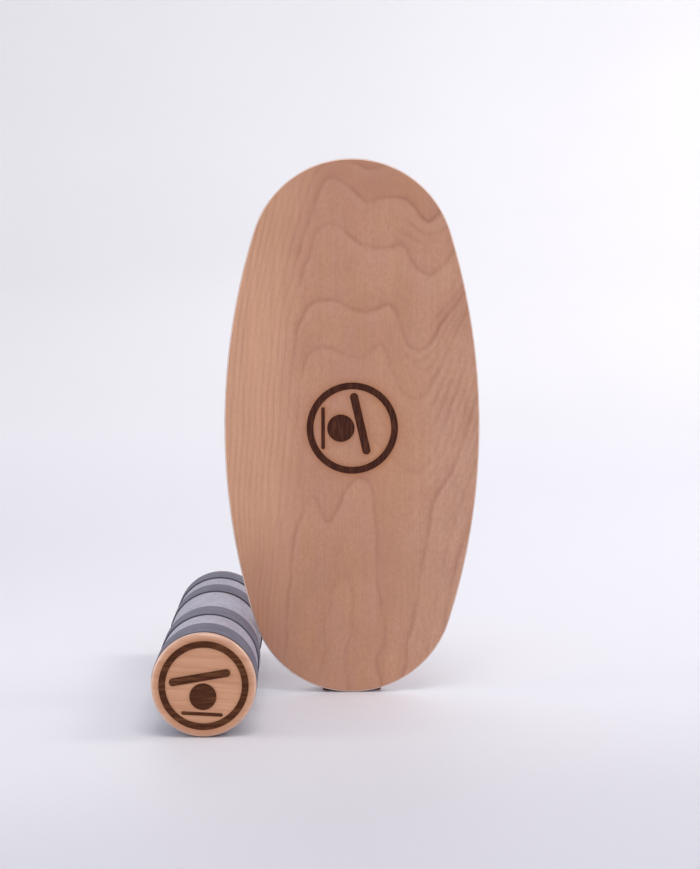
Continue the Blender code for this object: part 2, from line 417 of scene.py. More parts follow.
# ------ deck outline and figure
def oval(count):
    """Points and outward normals round the deck, about its own centre, evenly spaced along the edge."""
    half_width = DECK_WIDTH / 2
    end_centre = DECK_LENGTH / 2 - DECK_END_RADIUS
    side_radius = ((end_centre ** 2 + half_width ** 2 - DECK_END_RADIUS ** 2)
                   / (2 * (half_width - DECK_END_RADIUS)))
    side_angle = math.asin(end_centre / (side_radius - DECK_END_RADIUS))
    side_length = side_radius * 2 * side_angle
    end_length = DECK_END_RADIUS * (math.pi - 2 * side_angle)
    total = 2 * (side_length + end_length)
    arcs = [
        (-(side_radius - half_width), 0.0, side_radius, -side_angle, side_length),
        (0.0, end_centre, DECK_END_RADIUS, side_angle, end_length),
        (side_radius - half_width, 0.0, side_radius, math.pi - side_angle, side_length),
        (0.0, -end_centre, DECK_END_RADIUS, math.pi + side_angle, end_length),
    ]
    points = []
    for step in range(count):
        travel = total * step / count
        for centre_x, centre_z, radius, start, length in arcs:
            if travel < length:
                break
            travel -= length
        angle = start + travel / radius
        normal = (math.cos(angle), math.sin(angle))
        points.append(((centre_x + radius * normal[0], centre_z + radius * normal[1]), normal))
    return points


# Growth lines of the face veneer: ring number, then points in millimetres, across from the deck's
# centreline and up from its foot. The figure is a smooth surface through them.
GROWTH_LINES = [
    (-6, (-166, 300), (-163, 350), (-157, 450), (-152, 500), (-143, 550), (-132, 600)),
    (-4, (-148, 180), (-153, 250), (-147, 350), (-141, 450), (-137, 500), (-128, 550), (-117, 600),
         (-107, 640)),
    (-2, (-142, 150), (-139, 250), (-131, 350), (-125, 450), (-121, 500), (-112, 550), (-101, 600),
         (-91, 640), (-79, 680)),
    (0, (-134, 150), (-123, 250), (-115, 350), (-109, 450), (-104, 500), (-95, 550), (-83, 600),
        (-71, 640), (-56, 684), (5, 713), (22, 707), (40, 710)),
    (1, (-126, 150), (-115, 250), (-107, 350), (-101, 450), (-96, 500), (-83, 550), (-70, 595),
        (-60, 630), (-52, 655), (-44, 680), (-31, 695), (-20, 692), (-7, 685), (5, 675), (19, 663),
        (35, 667), (53, 669), (68, 667), (78, 661), (84, 654), (92, 643), (102, 637), (113, 644)),
    (2, (-121, 90), (-118, 150), (-107, 250), (-99, 350), (-94, 430), (-88, 500), (-77, 545),
        (-65, 577), (-55, 605), (-48, 623), (-40, 630), (-28, 633), (-16, 629), (-5, 619), (6, 610),
        (20, 604), (38, 601), (53, 603), (63, 606), (70, 603), (76, 592), (82, 580), (91, 571),
        (104, 567), (117, 575), (131, 590), (143, 606)),
    (3, (-115, 90), (-110, 150), (-99, 250), (-90, 350), (-82, 430), (-76, 480), (-68, 508),
        (-59, 523), (-49, 530), (-31, 532), (-16, 529), (-6, 523), (6, 518), (20, 517), (35, 521),
        (47, 527), (54, 523), (60, 511), (66, 495), (72, 478), (81, 468), (92, 466), (104, 474),
        (114, 490), (124, 507), (134, 520), (145, 534), (156, 550)),
    (4, (-109, 60), (-102, 150), (-90, 250), (-80, 350), (-71, 420), (-62, 455), (-46, 467),
        (-25, 466), (-7, 458), (11, 454), (26, 463), (38, 472), (46, 463), (51, 445), (57, 427),
        (65, 413), (76, 403), (89, 401), (101, 411), (113, 432), (126, 461), (140, 490), (152, 514),
        (163, 534)),
    (5, (-102, 50), (-94, 150), (-80, 250), (-68, 320), (-48, 360), (-10, 368), (24, 352), (44, 328),
        (70, 306), (92, 302), (108, 322), (122, 360), (136, 400), (149, 437), (160, 466)),
    (2.5, (-50, 562), (-30, 582), (0, 566), (30, 560)),
    (5.5, (58, 250), (66, 200), (66, 120), (56, 40), (52, -20)),
    (5.6, (-36, 272), (-36, 300), (-16, 318)),
    (6, (-94, 50), (-90, 95), (-87, 140), (-84, 170), (-80, 205), (-74, 230), (-64, 256), (-53, 267),
        (-46, 259), (-41, 242), (-33, 233), (-25, 243), (-14, 268), (-2, 286), (12, 293), (24, 285),
        (29, 262), (32, 233), (33, 197), (34, 165), (38, 130), (42, 100), (41, 65), (38, 20),
        (37, -20), (66, -20), (69, 26), (73, 55), (79, 85), (85, 112), (89, 135), (93, 165),
        (97, 190), (102, 215), (106, 245), (112, 266), (123, 284), (137, 310), (148, 340),
        (158, 370)),
    (6.5, (-66, 0), (-64, 60), (-60, 140), (-52, 200), (18, 0), (18, 60), (12, 140), (8, 210)),
    (7, (-46, -20), (-42, 30), (-36, 80), (-27, 120), (-16, 152), (-8, 160), (-2, 146), (-2, 110),
        (-6, 70), (-10, 30), (-12, -20)),
    (7, (103, 60), (110, 100), (117, 135), (123, 170), (128, 197), (136, 225), (146, 255)),
    (7.35, (-28, -20), (-26, 30), (-22, 80), (-14, 125)),
    (8, (126, 105), (133, 140), (140, 170), (148, 200)),
]
MILLIMETRE = 0.001
SPLINE_UNIT = 100.0  # millimetres; keeps the spline's numbers near 1
SPLINE_EASE = 0.002  # how freely the figure may pass beside its points
SPLINE_BATCH = 16  # points handled at a time, to save memory
LEAST_STEEPNESS = 9.0  # rings per metre, so that a flat stretch draws no line


def spline_kernel(gap):
    return gap ** 2 * np.log(gap + 1e-9)  # the small number keeps the logarithm finite


def fit_figure():
    """Thin-plate spline through the growth lines: ring number as a smooth function of place."""
    rows = [(x, z, level) for level, *points in GROWTH_LINES for x, z in points]
    data = np.array(rows, float)
    places = data[:, :2] / SPLINE_UNIT
    count = len(places)
    gap = np.linalg.norm(places[:, None] - places[None], axis=2)
    system = np.zeros((count + 3, count + 3))
    system[:count, :count] = spline_kernel(gap) + np.eye(count) * SPLINE_EASE
    system[:count, count] = 1.0
    system[:count, count + 1:] = places
    system[count:, :count] = system[:count, count:].T
    weights = np.linalg.solve(system, np.concatenate([data[:, 2], np.zeros(3)]))

    def ring_number(x, z):
        """x and z are arrays in metres, from the deck's centreline and foot."""
        spots = np.stack([x, z], axis=1) / MILLIMETRE / SPLINE_UNIT
        total = weights[count] + spots @ weights[count + 1:]
        for start in range(0, count, SPLINE_BATCH):
            end = min(start + SPLINE_BATCH, count)
            gap = np.linalg.norm(spots[:, None] - places[None, start:end], axis=2)
            total = total + spline_kernel(gap) @ weights[start:end]
        return total
    return ring_number


def paint_figure(mesh, ring_number):
    """Store the ring number and how fast it changes on every point of the deck."""
    places = np.zeros(len(mesh.vertices) * 3)
    mesh.vertices.foreach_get("co", places)
    places = places.reshape(-1, 3)
    x = places[:, 0] - DECK_CENTRE.x
    z = places[:, 2] - DECK_LOW.z
    behind = places[:, 1] > DECK_CENTRE.y  # the back has the figure turned round
    x = np.where(behind, -x, x)
    z = np.where(behind, DECK_LENGTH - z, z)
    here = ring_number(x, z)
    step = MILLIMETRE
    slope = np.hypot(ring_number(x + step, z) - here, ring_number(x, z + step) - here) / step
    for name, values in (("ring_number", here), ("steepness", np.maximum(slope, LEAST_STEEPNESS))):
        layer = mesh.attributes.new(name, "FLOAT", "POINT")
        layer.data.foreach_set("value", values.astype(np.float32))


# ------ deck veneer
LINE_SOFTNESS = 0.0021  # half width of a growth line
CROWDED_SOFTNESS = 0.0009  # the same where lines crowd
LINE_WOBBLE, CROWDED_WOBBLE = 0.0040, 0.0013  # how far lines stray where open and where crowded
LINE_RAGGEDNESS = 0.0024  # how far they stray in much shorter waves
CROWDED_FROM, CROWDED_TO = 35.0, 110.0  # rings per metre
FLANK_FROM, FLANK_TO = 15.0, 30.0  # the same, where minor lines begin to show
LATEWOOD_FADE, EARLYWOOD_FADE, LINE_EDGE = 0.012, 0.020, 0.0032
STRENGTH_CYCLE, STRENGTH_START = 7, 1.5  # lines grow bolder and fainter in a cycle of seven
BOLD_LINES = ((3.0, 0.72), (6.0, 0.38))  # ring number, and what is left of the lines on both sides of it
MINOR_PER_RING = 3.0
VENEER_DARK, VENEER_LIGHT, VENEER_WARM = srgb(199, 149, 120), srgb(212, 161, 130), srgb(210, 154, 113)
VENEER_PALE, VENEER_FIBRE, VENEER_FLECK = srgb(238, 185, 150), srgb(182, 129, 100), srgb(146, 95, 73)
VENEER_EARLY, VENEER_LATEWOOD_AND_SHADE = srgb(220, 175, 151), srgb(175, 115, 92)
VENEER_LINE, VENEER_SCORCH = srgb(138, 78, 62), srgb(168, 98, 48)
VENEER_ROSY, VENEER_ASHEN = srgb(207, 153, 131), srgb(225, 188, 164)


class Figure:
    """The growth lines as values in the veneer's node tree."""

    def __init__(self, tree):
        self.tree = tree
        wobble = tree.sub(tree.noise((110, 110, 45)), 0.5)
        ragged = tree.sub(tree.noise((600, 600, 90), 2.0, 0.6), 0.5)
        self.steep = tree.attribute("steepness")
        self.crowded = tree.spread(self.steep, CROWDED_FROM, CROWDED_TO)
        self.open = tree.sub(1.0, self.crowded)
        shift = tree.add(tree.mul(wobble, self.by_crowding(LINE_WOBBLE, CROWDED_WOBBLE)),
                         tree.mul(ragged, LINE_RAGGEDNESS))
        self.number = tree.add(tree.attribute("ring_number"), tree.mul(shift, self.steep))
        self.line = tree.math("ROUND", self.number)
        self.away = tree.div(tree.sub(self.number, self.line), self.steep)
        self.patchy = tree.noise((17, 17, 10))
        self.strength = self.line_strength()

    def by_crowding(self, where_open, where_crowded):
        return self.tree.spread(self.crowded, 0.0, 1.0, where_open, where_crowded)

    def line_strength(self):
        """Lines differ in strength, and each one comes and goes along its run."""
        tree = self.tree
        turn = tree.mul(tree.sub(self.line, STRENGTH_START), math.tau / STRENGTH_CYCLE)
        strength = tree.add(0.80, tree.mul(tree.math("COSINE", turn), 0.20))
        spotty = tree.noise((45, 45, 28), offset=(6, 4, 2))
        strength = tree.mul(strength, tree.spread(self.patchy, 0.32, 0.66, 0.4, 1.1),
                            tree.spread(spotty, 0.30, 0.60, 0.62, 1.05))
        for bold_line, left in BOLD_LINES:
            beside = tree.apart(tree.apart(self.line, bold_line), 1.0)
            strength = tree.mul(strength, tree.spread(beside, 0.0, 1.0, left, 1.0))
        return tree.mul(strength, self.by_crowding(1.0, 0.66))

    def core(self):
        """The thin dark line itself."""
        thin = self.tree.div(self.away, self.by_crowding(LINE_SOFTNESS, CROWDED_SOFTNESS))
        return self.tree.mul(self.tree.bell(thin), self.strength)

    def wood_beside(self):
        """The darker latewood before a line, and the paler earlywood behind it."""
        tree = self.tree
        behind = tree.math("MAXIMUM", self.away, 0.0)
        before = tree.fade(tree.math("MINIMUM", self.away, 0.0), -LATEWOOD_FADE)
        taper = tree.spread(tree.apart(self.number, self.line), 0.25, 0.5, 1.0, 0.0)
        open_grain = tree.sub(1.0, tree.mul(self.crowded, 0.75))
        share = tree.mul(taper, open_grain, self.strength)
        latewood = tree.mul(before, tree.fade(behind, LINE_EDGE), share)
        earlywood = tree.mul(tree.fade(behind, EARLYWOOD_FADE), tree.spread(behind, 0.0, 0.004), share)
        return latewood, earlywood

    def minor_lines(self, side, height):
        """Faint lines between the growth lines, mostly on the right and high up."""
        tree = self.tree
        finer = tree.mul(self.number, MINOR_PER_RING)
        nearest = tree.sub(finer, tree.math("ROUND", finer))
        thin = tree.div(tree.div(nearest, MINOR_PER_RING * LINE_SOFTNESS), self.steep)
        flank = tree.mul(tree.spread(self.steep, FLANK_FROM, FLANK_TO), self.open)
        return tree.mul(tree.bell(thin), flank, tree.spread(self.patchy, 0.35, 0.62, 0.2, 1.0),
                        tree.spread(side, 0.03, 0.085, 0.22, 1.0),
                        tree.spread(height, 0.28, 0.44, 0.25, 1.0))


def tint_by_place(tree, figure, side, height):
    """Slow changes of tone, with painted shade low on the left and, in part, at the top end. side and
    height are in metres from the deck's centreline and foot.
    """
    outer_left = tree.mul(tree.spread(side, -0.125, -0.045, 1.0, 0.0), tree.spread(height, 0.12, 0.26),
                          tree.spread(height, 0.54, 0.70, 1.0, 0.35))
    tree.tint(VENEER_PALE, outer_left, 0.56)
    outer_right = tree.mul(tree.spread(side, 0.03, 0.14), tree.spread(height, 0.35, 0.60, 1.0, 0.3))
    tree.tint(VENEER_ASHEN, outer_right, 0.32)
    amber = tree.mul(tree.spread(side, 0.0, 0.04), tree.spread(side, 0.07, 0.13, 1.0, 0.0),
                     tree.spread(height, 0.20, 0.32), tree.spread(height, 0.38, 0.48, 1.0, 0.0))
    tree.tint(VENEER_WARM, amber, 0.40)
    # Painted shade: the deck's low left corner is darkened where the roller beside it shades it.
    painted_roller_shade = tree.mul(tree.spread(side, -0.13, -0.05, 1.0, 0.0),
                        tree.spread(height, 0.10, 0.24, 1.0, 0.0))
    tree.tint(VENEER_LATEWOOD_AND_SHADE, painted_roller_shade, 0.20)
    # Darker near the top end: partly the wood's own tone, partly painted shade against the brighter light
    # on the deck's top.
    top_end_tone_and_shade = tree.mul(figure.open, tree.spread(figure.number, 0.4, 2.2, 1.0, 0.0))
    tree.tint(VENEER_LATEWOOD_AND_SHADE, top_end_tone_and_shade, 0.30)


def scorch_deck(tree, x, y, z, cloud):
    """The brown halo round the deck's emblem, which lies turned a quarter round."""
    up = tree.mul(tree.sub(x, DECK_CENTRE.x), 1.0 / DECK_EMBLEM_RADIUS)
    right = tree.mul(tree.sub(DECK_CENTRE.z, z), 1.0 / DECK_EMBLEM_RADIUS)
    front = tree.math("LESS_THAN", y, DECK_CENTRE.y)
    halo = tree.mul(emblem_halo(tree, right, up, 0.07), front)
    tree.tint(VENEER_SCORCH, halo, tree.spread(cloud, 0.2, 0.8, 0.35, 0.75))


def deck_wood():
    """Plain-sawn face veneer: growth lines, fibres, short flecks and slow changes of tone, some of them
    painted shade.
    """
    tree = Tree("deck_veneer")
    x, y, z = tree.separate(tree.coords)
    facing = tree.math("SIGN", tree.sub(DECK_CENTRE.y, y))  # the back has the figure turned round
    side = tree.mul(tree.sub(x, DECK_CENTRE.x), facing)
    height = tree.add(tree.mul(tree.sub(z, DECK_CENTRE.z), facing), DECK_LENGTH / 2)
    figure = Figure(tree)
    latewood, earlywood = figure.wood_beside()

    fibre = tree.noise((700, 700, 9), 4.0, 0.6)
    fibre_wide = tree.noise((160, 160, 4), 3.0, 0.6)
    fleck = tree.flecks((1500, 1500, 190))
    mottle = tree.noise((330, 330, 190), 3.0, 0.65, offset=(1, 8, 3))
    cloud = tree.noise((16, 16, 9), 3.0, 0.55)
    rosy = tree.noise((52, 52, 17), 3.0, 0.6, offset=(5, 2, 9))
    warm = tree.noise((34, 34, 20), 3.0, 0.6, offset=(3, 1, 7))

    tree.base(cloud, VENEER_DARK, VENEER_LIGHT)
    tree.tint(VENEER_WARM, tree.spread(warm, 0.35, 0.75), 0.35)
    tree.tint(VENEER_ROSY, tree.spread(rosy, 0.38, 0.64), 0.55)
    tint_by_place(tree, figure, side, height)
    tree.tint(VENEER_FIBRE, tree.spread(fibre, 0.3, 0.7), 0.20)
    tree.tint(VENEER_FIBRE, tree.spread(fibre_wide, 0.35, 0.7), 0.09)
    tree.tint(VENEER_FIBRE, tree.spread(mottle, 0.40, 0.66), figure.by_crowding(0.30, 0.12))
    tree.tint(VENEER_EARLY, earlywood, 0.30)
    tree.tint(VENEER_FLECK, fleck, 0.18)
    tree.tint(VENEER_LATEWOOD_AND_SHADE, latewood, 0.29)
    tree.tint(VENEER_LINE, figure.core(), 0.24)
    tree.tint(VENEER_LATEWOOD_AND_SHADE, figure.minor_lines(side, height), 0.52)
    scorch_deck(tree, x, y, z, cloud)
    tree.bump(tree.add(tree.mul(fibre, 0.6), tree.mul(fleck, -0.4)), 0.25, 0.0003)
    return tree.finish(tree.spread(fibre, 0.3, 0.7, 0.50, 0.60), specular=0.35)


# ------ other materials
PLIES = 9


def ply_edge():
    """The deck's rounded edge, where the plies show as thin layers."""
    tree = Tree("deck_ply_edge")
    depth = tree.sub(tree.separate(tree.coords)[1], DECK_LOW.y)
    layer = tree.mul(depth, PLIES / DECK_THICKNESS)
    crosswise = tree.math("MODULO", tree.math("FLOOR", layer), 2.0)
    glue = tree.spread(tree.apart(tree.math("FRACT", layer), 0.5), 0.42, 0.49)
    fibre = tree.noise((500, 1400, 500), 3.0, 0.6)
    streak = tree.noise((60, 900, 60), 3.0, 0.6)
    long_grain = tree.mix(tree.spread(streak, 0.3, 0.7), srgb(220, 194, 180), srgb(236, 212, 200))
    end_grain = tree.mix(tree.spread(fibre, 0.3, 0.7), srgb(186, 156, 142), srgb(204, 174, 160))
    tree.colour = tree.mix(crosswise, long_grain, end_grain)
    tree.tint(srgb(120, 82, 62), glue, 0.6)
    tree.bump(fibre, 0.2, 0.0002)
    tree.surface(Coat_Weight=0.6, Coat_Roughness=0.3)
    return tree.finish(tree.spread(fibre, 0.3, 0.7, 0.48, 0.60), specular=0.4)


def burnt_wood(name, dark, light, per_metre):
    """Laser-burnt engraving: nearly black-brown with lighter streaks of the grain left in it."""
    tree = Tree(name)
    streak = tree.noise(per_metre, 4.0, 0.65)
    speck = tree.noise((1600, 1600, 1600))
    tree.base(streak, dark, light, 0.42, 0.72)
    tree.tint(light, tree.spread(speck, 0.5, 0.8), 0.3)
    tree.bump(tree.add(streak, tree.mul(speck, 0.5)), 0.5, 0.0003)
    return tree.finish(0.85, specular=0.15)


def cap_wood(name, emblem_centre, outward, turn):
    """Turned cap with its grain across the face, lacquered, with a painted highlight on its rounded rim."""
    tree = Tree(name)
    centred = tree.mapped(tree.coords, location=(-emblem_centre[0], 0, -emblem_centre[2]))
    level = tree.mapped(centred, rotation=(0, turn, 0))
    x, y, z = tree.separate(level)
    bend = tree.sub(tree.noise((9, 9, 26), vector=level), 0.5)
    warped = tree.combine(x, y, tree.add(z, tree.mul(bend, 0.010)))
    broad = tree.noise((5, 60, 120), 3.0, 0.55, vector=warped)
    fine = tree.noise((22, 300, 620), 3.0, 0.6, vector=warped)
    fleck = tree.flecks((160, 900, 1500), 0.64, vector=warped)
    tree.base(broad, srgb(227, 171, 132), srgb(212, 151, 113), 0.32, 0.68)
    tree.tint(srgb(193, 134, 98), tree.spread(fine, 0.35, 0.7), 0.4)
    tree.tint(srgb(140, 90, 64), fleck, 0.25)

    right, up = tree.mul(x, -outward / CAP_EMBLEM_RADIUS), tree.mul(z, 1.0 / CAP_EMBLEM_RADIUS)
    face_place = abs(emblem_centre[1])
    face = tree.spread(tree.math("ABSOLUTE", y), face_place - 0.003, face_place - 0.001)
    tree.tint(srgb(156, 94, 52), tree.mul(emblem_halo(tree, right, up, 0.035), face), 0.5)
    from_axis, flat = tree.hypot(x, z), CAP_RADIUS - CAP_EDGE_RADIUS
    # Painted highlight: the rounded rim is tinted pale, as where its lacquer catches the light.
    tree.tint(srgb(240, 214, 204), tree.spread(from_axis, flat + 0.002, CAP_RADIUS), 0.32)
    tree.bump(tree.add(tree.mul(fine, 0.6), tree.mul(fleck, -0.4)), 0.2, 0.0003)
    coat = tree.spread(from_axis, flat - 0.001, flat + 0.003, 0.2, 1.0)
    tree.surface(Coat_Weight=coat, Coat_Roughness=0.2, Coat_IOR=1.6)
    return tree.finish(tree.spread(fine, 0.3, 0.7, 0.34, 0.44))


def stopper_wood():
    """Solid bar of dark wood, with its grain along X."""
    tree = Tree("stopper_dark_wood")
    broad = tree.noise((7, 150, 110), 3.0, 0.6)
    fine = tree.noise((30, 700, 700), 3.0, 0.6)
    fleck = tree.flecks((200, 1500, 1500))
    tree.base(broad, srgb(158, 106, 82), srgb(132, 86, 66))
    tree.tint(srgb(112, 70, 54), tree.spread(fine, 0.35, 0.7), 0.4)
    tree.tint(srgb(90, 54, 42), fleck, 0.3)
    tree.bump(tree.add(fine, tree.mul(fleck, -0.5)), 0.3, 0.0003)
    return tree.finish(tree.spread(fine, 0.3, 0.7, 0.46, 0.58), specular=0.4)


def tube_plastic():
    """Light grey pipe, rubbed matte, with a fine mottle and faint scuffs round it."""
    tree = Tree("tube_grey")
    mottle = tree.noise((420, 420, 420), 4.0, 0.6)
    cloud = tree.noise((45, 30, 45), 3.0, 0.6)
    scuff = tree.noise((40, 900, 40), 3.0, 0.6)
    pale_specks = tree.noise((260, 700, 260), offset=(2, 5, 1))
    tree.base(cloud, srgb(166, 163, 177), srgb(183, 180, 194))
    tree.tint(srgb(136, 132, 146), tree.spread(mottle, 0.42, 0.60), 0.50)
    tree.tint(srgb(204, 200, 212), tree.spread(pale_specks, 0.45, 0.65), 0.35)
    tree.tint(srgb(206, 203, 214), tree.spread(scuff, 0.55, 0.8), 0.25)
    tree.bump(tree.add(mottle, tree.mul(scuff, 0.4)), 0.3, 0.0002)
    return tree.finish(tree.spread(mottle, 0.3, 0.7, 0.55, 0.7), specular=0.35)


def ring_rubber():
    """Matte mid-grey grip rubber with a fine pebbled skin."""
    tree = Tree("ring_grey_rubber")
    pebble = tree.noise((1400, 1400, 1400))
    round_marks = tree.noise((30, 700, 30), 3.0, 0.6)
    cloud = tree.noise((35, 60, 35), 3.0, 0.6)
    grain = tree.noise((380, 380, 380), 3.0, 0.6, offset=(4, 2, 6))
    tree.base(cloud, srgb(114, 112, 127), srgb(128, 126, 141))
    tree.tint(srgb(98, 96, 110), tree.spread(grain, 0.42, 0.64), 0.35)
    tree.tint(srgb(101, 99, 112), tree.spread(pebble, 0.4, 0.75), 0.35)
    tree.tint(srgb(150, 148, 158), tree.spread(round_marks, 0.55, 0.8), 0.2)
    tree.bump(tree.add(pebble, tree.mul(round_marks, 0.5)), 0.35, 0.0002)
    return tree.finish(tree.spread(pebble, 0.3, 0.7, 0.72, 0.86), specular=0.25)


def ring_cut_side():
    """The rubber's cut side, with fine cutting marks. Its darker grey is partly the rubber's own and partly
    painted shade along each ring's step.
    """
    tree = Tree("ring_cut_side")
    marks = tree.noise((1100, 1100, 1100))
    tree.base(marks, srgb(78, 76, 84), srgb(96, 94, 103))
    tree.bump(marks, 0.3, 0.0001)
    return tree.finish(0.9, specular=0.15)


def screw_steel():
    """Zinc-plated steel with a brushed, slightly dulled head."""
    tree = Tree("screw_zinc")
    brushed = tree.noise((2600, 2600, 400), 3.0, 0.6)
    stain = tree.noise((500, 500, 500), 3.0, 0.6)
    tree.base(stain, srgb(206, 205, 200), srgb(168, 166, 160), 0.35)
    tree.bump(brushed, 0.15, 0.0001)
    return tree.finish(tree.spread(brushed, 0.3, 0.7, 0.26, 0.42), metallic=1.0)


# ------ deck
FACE_VENEER = 0.0002  # how far in from a face still counts as that face


def deck_loops():
    """Loops from the middle of the front face, over the rounded edge, to the middle of the back."""
    outline = oval(OUTLINE_POINTS)
    radius = DECK_EDGE_RADIUS

    def loop(inset, y, share=1.0):
        return [(DECK_CENTRE.x + share * (point[0] - normal[0] * inset), y,
                 DECK_CENTRE.z + share * (point[1] - normal[1] * inset)) for point, normal in outline]

    loops = [loop(radius, DECK_LOW.y, ring / FRONT_RINGS) for ring in range(1, FRONT_RINGS + 1)]
    loops += [loop(radius * (1 - sine), DECK_LOW.y + radius * (1 - cosine))
              for sine, cosine in quarter_turn(EDGE_STEPS, 1)]
    loops += [loop(radius * (1 - cosine), DECK_HIGH.y - radius * (1 - sine))
              for sine, cosine in quarter_turn(EDGE_STEPS)]
    loops += [loop(radius, DECK_HIGH.y, 1 - ring / BACK_RINGS) for ring in range(1, BACK_RINGS)]
    return loops


def make_deck():
    solid = lofted("deck_solid", deck_loops(), pointed=True)
    centre = (DECK_CENTRE.x, DECK_LOW.y, DECK_CENTRE.z)
    place = emblem_place(centre, DECK_EMBLEM_RADIUS, math.radians(-90), -1)
    mesh = applied(solid, emblem_cutter("deck_emblem", place), "deck_board", DECK_SMOOTH)
    paint_figure(mesh, fit_figure())
    burnt = burnt_wood("deck_burnt", srgb(66, 34, 26), srgb(104, 62, 44), (420, 420, 40))
    add_piece("deck_board", mesh, "board", "deck_wood", ["deck"], deck_wood(), ply_edge(), burnt)
    for polygon in mesh.polygons:
        on_edge = DECK_LOW.y + FACE_VENEER < polygon.center.y < DECK_HIGH.y - FACE_VENEER
        polygon.material_index = 1 if on_edge else 0
    mark_engraving(mesh, DECK_LOW.y, -1, centre, DECK_EMBLEM_RADIUS, 2)


# ------ stoppers and their screws
SCREW_STEPS, COUNTERBORE_STEPS = 48, 40
HEAD_BEVEL, HEAD_RIM_DEPTH, HEAD_DEPTH, SHANK_DEPTH = 0.0003, 0.0008, 0.0026, 0.006
RECESS_ARM, RECESS_HALF_WIDTH, RECESS_DEPTH, RECESS_RISE = 0.0021, 0.00042, 0.0016, 0.0004
RECESS_TAPER = 0.55  # size of the recess at its bottom
SCREW_LIFT = 0.00005  # keeps a head clear of its counterbore's floor


def screw_centres(end):
    """Middle (x, z) of each screw of one stopper, read from the CAD screws."""
    centres = []
    for side in ("left", "right"):
        low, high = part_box(f"stopper_screw_{end}_{side}")
        centres.append(((low.x + high.x) / 2, (low.z + high.z) / 2))
    return centres


def make_stopper(end, wood):
    low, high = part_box(f"stopper_{end}")
    bm = bmesh.new()
    bmesh.ops.create_cube(bm, size=1.0, matrix=Matrix.Translation((low + high) / 2) @ Matrix.Diagonal(
        (high.x - low.x, high.y - low.y, high.z - low.z, 1.0)))
    bmesh.ops.bevel(bm, geom=bm.edges[:], offset=STOPPER_EDGE_RADIUS, offset_type="OFFSET", segments=6,
                    profile=0.5, affect="EDGES")
    bar = mesh_from(bm, "bar")
    bm = bmesh.new()
    for centre in screw_centres(end):
        outline = circle_points(centre, COUNTERBORE_RADIUS, COUNTERBORE_STEPS)
        prism(bm, outline, upright, high.y - SCREW_SINK, high.y + CUTTER_RISE)
    mesh = applied(bar, mesh_from(bm, "counterbores"), f"stopper_{end}_bar")
    add_piece(f"stopper_{end}_bar", mesh, "board", "stopper_wood", [f"stopper_{end}"], wood)


def screw_head_mesh(name, centre, top):
    """The part of a screw that shows: a flat head with a small rim and a cross recess."""
    profile = [(SCREW_HEAD_RADIUS - HEAD_BEVEL, top), (SCREW_HEAD_RADIUS, top - HEAD_BEVEL),
               (SCREW_HEAD_RADIUS, top - HEAD_RIM_DEPTH), (SCREW_SHANK_RADIUS, top - HEAD_DEPTH),
               (SCREW_SHANK_RADIUS, top - SHANK_DEPTH)]
    rows = [[upright(x, z, y) for x, z in circle_points(centre, radius, SCREW_STEPS)]
            for radius, y in profile]
    arm, half = RECESS_ARM, RECESS_HALF_WIDTH
    cross = [(half, half), (half, arm), (-half, arm), (-half, half), (-arm, half), (-arm, -half),
             (-half, -half), (-half, -arm), (half, -arm), (half, -half), (arm, -half), (arm, half)]
    ends = ((RECESS_TAPER, top - RECESS_DEPTH), (1.0, top + RECESS_RISE))
    recess = [[(centre[0] + u * share, y, centre[1] + v * share) for u, v in cross] for share, y in ends]
    return applied(lofted(f"{name}_head", rows), lofted(f"{name}_recess", recess), name)


def make_stopper_screws(end, steel):
    _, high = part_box(f"stopper_{end}")
    for side, centre in zip(("left", "right"), screw_centres(end)):
        name = f"screw_{end}_{side}"
        mesh = screw_head_mesh(name, centre, high.y - SCREW_SINK + SCREW_LIFT)
        add_piece(name, mesh, "board", "screw_steel", [f"stopper_screw_{end}_{side}"], steel)


# ------ roller
SIDE_FACING = 0.7  # faces turned this far along the axis are a ring's cut sides


def make_tube(material):
    inner, shoulder = TUBE_RADIUS - TUBE_WALL, TUBE_RADIUS - TUBE_LIP
    low, high = TUBE_LOW.y, TUBE_HIGH.y
    profile = [(inner, low), (shoulder, low), (TUBE_RADIUS, low + TUBE_LIP),
               (TUBE_RADIUS, high - TUBE_LIP), (shoulder, high), (inner, high)]
    mesh = turned("tube_pipe", profile, ring=True)
    add_piece("tube_pipe", mesh, "roller", "tube_plastic", ["roller_tube"], material)


def make_rings(rubber, side):
    inner, flat, corner = TUBE_RADIUS + GLUE_GAP, RING_RADIUS - RING_CORNER, RING_CORNER
    for number in range(1, 5):
        low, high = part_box(f"grip_ring_{number}")
        profile = [(inner, low.y)]
        profile += [(flat + corner * sine, low.y + corner - corner * cosine)
                    for sine, cosine in quarter_turn(RING_CORNER_STEPS)]
        profile += [(flat + corner * cosine, high.y - corner + corner * sine)
                    for sine, cosine in quarter_turn(RING_CORNER_STEPS)]
        profile.append((inner, high.y))
        mesh = turned(f"ring_{number}", profile, ring=True)
        add_piece(f"ring_{number}", mesh, "roller", "ring_rubber", [f"grip_ring_{number}"],
                  rubber, side)
        # The sides get the darker grey, which is partly painted shade at each ring's step.
        for polygon in mesh.polygons:
            if abs(polygon.normal.y) > SIDE_FACING:
                polygon.material_index = 1


